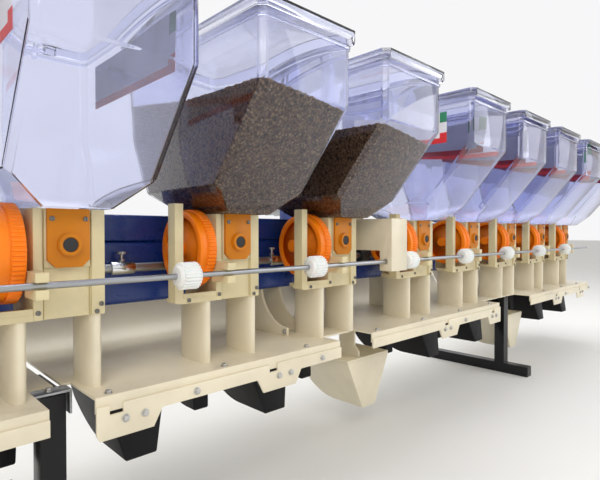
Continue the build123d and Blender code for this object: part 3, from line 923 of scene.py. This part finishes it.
coverTrim = {
    "x": -0.003, "z": 0.424, "ring": 0.0132, "plug": 0.0085, "gap": 0.0006,
    "rear": housingRear - 0.010, "ringHeight": 0.0016, "plugHeight": 0.0005,
    "ringEdge": 0.0004, "plugEdge": 0.0002,
}


def addCoverTrim(v):
    ring, plug = bmesh.new(), bmesh.new()
    rear = v["rear"]
    for x in unitX:
        centre = (x + v["x"], v["z"])
        pipe(ring, centre, v["plug"] + v["gap"], v["ring"], 1, rear - v["ringHeight"], rear)
        prism(plug, circle(centre, v["plug"]), 1, rear - v["plugHeight"], rear)
    finishMesh("coverRings", ring, finishes["amber_plastic"], "frame", v["ringEdge"])
    finishMesh("coverPlugs", plug, trim["darkRubber"], "frame", v["plugEdge"])


addCoverTrim(coverTrim)
print("wheels, brackets, ducts and covers done")

# Thumb screw on every shaft sleeve

thumb = {
    "stem": 0.0026, "stemHeight": 0.0108, "sink": 0.001, "head": 0.0066, "headHeight": 0.0036,
    "knurls": 14, "knurlRoot": 0.88, "nut": 1.9, "nutHeight": 0.003, "sleeve": 0.0105, "edge": 0.0003,
    "places": (-1.036, -0.536, -0.2345, 0.224, 0.536, 1.036),
}


def addThumbScrews(v):
    bm = bmesh.new()
    prism(bm, circle((0, 0), v["stem"], 20), 2, -v["sink"], v["stemHeight"])
    outline = []
    for i in range(v["knurls"] * 2):
        radius = v["head"] if i % 2 else v["head"] * v["knurlRoot"]
        turn = math.pi * i / v["knurls"]
        outline.append((radius * math.cos(turn), radius * math.sin(turn)))
    prism(bm, outline, 2, v["stemHeight"], v["stemHeight"] + v["headHeight"])
    prism(bm, circle((0, 0), v["stem"] * v["nut"], 6), 2, 0, v["nutHeight"])
    master = shapeFrom("thumbMaster", bm, v["edge"])
    y, z = shaftLine
    places = [((x, y, z + v["sleeve"]), upward) for x in v["places"]]
    setOnPoints("thumbScrews", master, places, trim["boltZinc"], "drive_line")


addThumbScrews(thumb)

# Blank labels on the hoppers' side walls: white over red, some with a green, white and red mark at the rear

label = {
    "rear": row - 0.150, "front": row + 0.090, "low": 0.626, "high": 0.690, "thick": 0.0004,
    "side": 0.0836,  # from the unit's centre to the hopper's wall
    "stripe": 0.011, "mark": 0.016, "marked": (1, 3, 6, 10), "plain": (2, 7, 8, 9),
}


def addLabels(v):
    sheets = {"labelWhite": bmesh.new(), "labelRed": bmesh.new(), "labelGreen": bmesh.new()}
    third = (v["high"] - v["low"]) / 3
    for number in sorted(v["marked"] + v["plain"]):
        marked = number in v["marked"]
        rear = v["rear"] + (v["mark"] if marked else 0)
        for side in (-1, 1):
            face = unitX[number - 1] + side * v["side"]
            near, far = sorted((face, face + side * v["thick"]))
            block(sheets["labelRed"], (near, rear, v["low"]), (far, v["front"], v["low"] + v["stripe"]))
            block(sheets["labelWhite"], (near, rear, v["low"] + v["stripe"]), (far, v["front"], v["high"]))
            if marked:
                for step, tone in enumerate(("labelRed", "labelWhite", "labelGreen")):
                    low = v["low"] + step * third
                    block(sheets[tone], (near, v["rear"], low), (far, rear, low + third))
    for name, bm in sheets.items():
        finishMesh(name + "Sheets", bm, trim[name], "frame")


addLabels(label)

# Moulded rim bead round each hopper under its lid

rim = {
    "low": 0.7010, "high": 0.7055, "out": 0.0022, "gap": 0.0003, "front": row + 0.136,
    "corner": 0.007, "cornerGrowth": 0.4, "edge": 0.0005,
}


def rimLoop(low, high, grow, v):
    x0, x1, y0, y1 = low.x - grow, high.x + grow, low.y - grow, v["front"] + grow
    c = v["corner"] + grow * v["cornerGrowth"]
    return [(x0 + c, y0), (x1 - c, y0), (x1, y0 + c), (x1, y1 - c), (x1 - c, y1), (x0 + c, y1),
            (x0, y1 - c), (x0, y0 + c)]


def addRims(v):
    bm = bmesh.new()
    for number in range(1, 11):
        low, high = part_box(f"hopper_{number}")
        rings = [[bm.verts.new((x, y, z)) for x, y in rimLoop(low, high, grow, v)]
                 for grow in (v["gap"], v["out"]) for z in (v["low"], v["high"])]
        for a, b in ((1, 0), (2, 3), (0, 2), (3, 1)):
            for i in range(8):
                j = (i + 1) % 8
                bm.faces.new((rings[a][i], rings[a][j], rings[b][j], rings[b][i]))
    finishMesh("hopperRims", bm, finishes["clear_plastic"], "frame", v["edge"])


addRims(rim)
print("labels and rims done")

# Loose seeds on top of the grain in the two filled hoppers

seeds = {
    "length": 0.0030, "width": 0.0017, "density": 60000, "seed": 7,
    "facing": 0.9,  # a face whose normal rises more than this counts as the grain's top
    "lean": 0.5,  # radians either way
    "turn": 6.283,
}


def seedMaster(v):
    bm = bmesh.new()
    bmesh.ops.create_icosphere(bm, subdivisions=1, radius=1)
    for vert in bm.verts:
        vert.co = Vector((vert.co.x * v["length"], vert.co.y * v["width"], vert.co.z * v["width"]))
    return shapeFrom("seedMaster", bm)


# Node group that strews a shape over the faces, each copy turned at random.
def scatter(name, shape, v):
    inputs = (("Density", "Float", None), ("Seed", "Int", None), ("Finish", "Material", None))
    group, start, end = nodeGroup(name, inputs)
    copies = copiesOf(shape, group, start, end)
    n, link = group.nodes.new, group.links.new
    spread = n("GeometryNodeDistributePointsOnFaces")
    turn = n("FunctionNodeRandomValue")
    turn.data_type = "FLOAT_VECTOR"
    turn.inputs["Min"].default_value = (-v["lean"], -v["lean"], 0)
    turn.inputs["Max"].default_value = (v["lean"], v["lean"], v["turn"])
    link(start.outputs["Geometry"], spread.inputs["Mesh"])
    link(start.outputs["Density"], spread.inputs["Density"])
    link(start.outputs["Seed"], spread.inputs["Seed"])
    link(spread.outputs["Points"], copies.inputs["Points"])
    link(turn.outputs["Value"], copies.inputs["Rotation"])
    return group


def addSeeds(number, master, v):
    source = nodes[f"grain_{number}"].data
    top = bmesh.new()
    for polygon in source.polygons:
        if polygon.normal.z > v["facing"]:
            top.faces.new([top.verts.new(source.vertices[i].co) for i in polygon.vertices])
    mesh = bpy.data.meshes.new(f"looseSeeds{number}")
    top.to_mesh(mesh)
    top.free()
    obj = addObject(f"looseSeeds{number}", mesh)
    values = {"Density": v["density"], "Seed": v["seed"] + number, "Finish": trim["seedHusk"]}
    addNodes(obj, scatter(f"seedScatter{number}", master, v), values)
    flatten(obj)
    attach(obj, "frame")
    print("seeds in hopper", number, len(obj.data.polygons))


master = seedMaster(seeds)
for number in (4, 5):
    addSeeds(number, master, seeds)

for shape in masters:
    bpy.data.objects.remove(shape)
print("all pieces done")
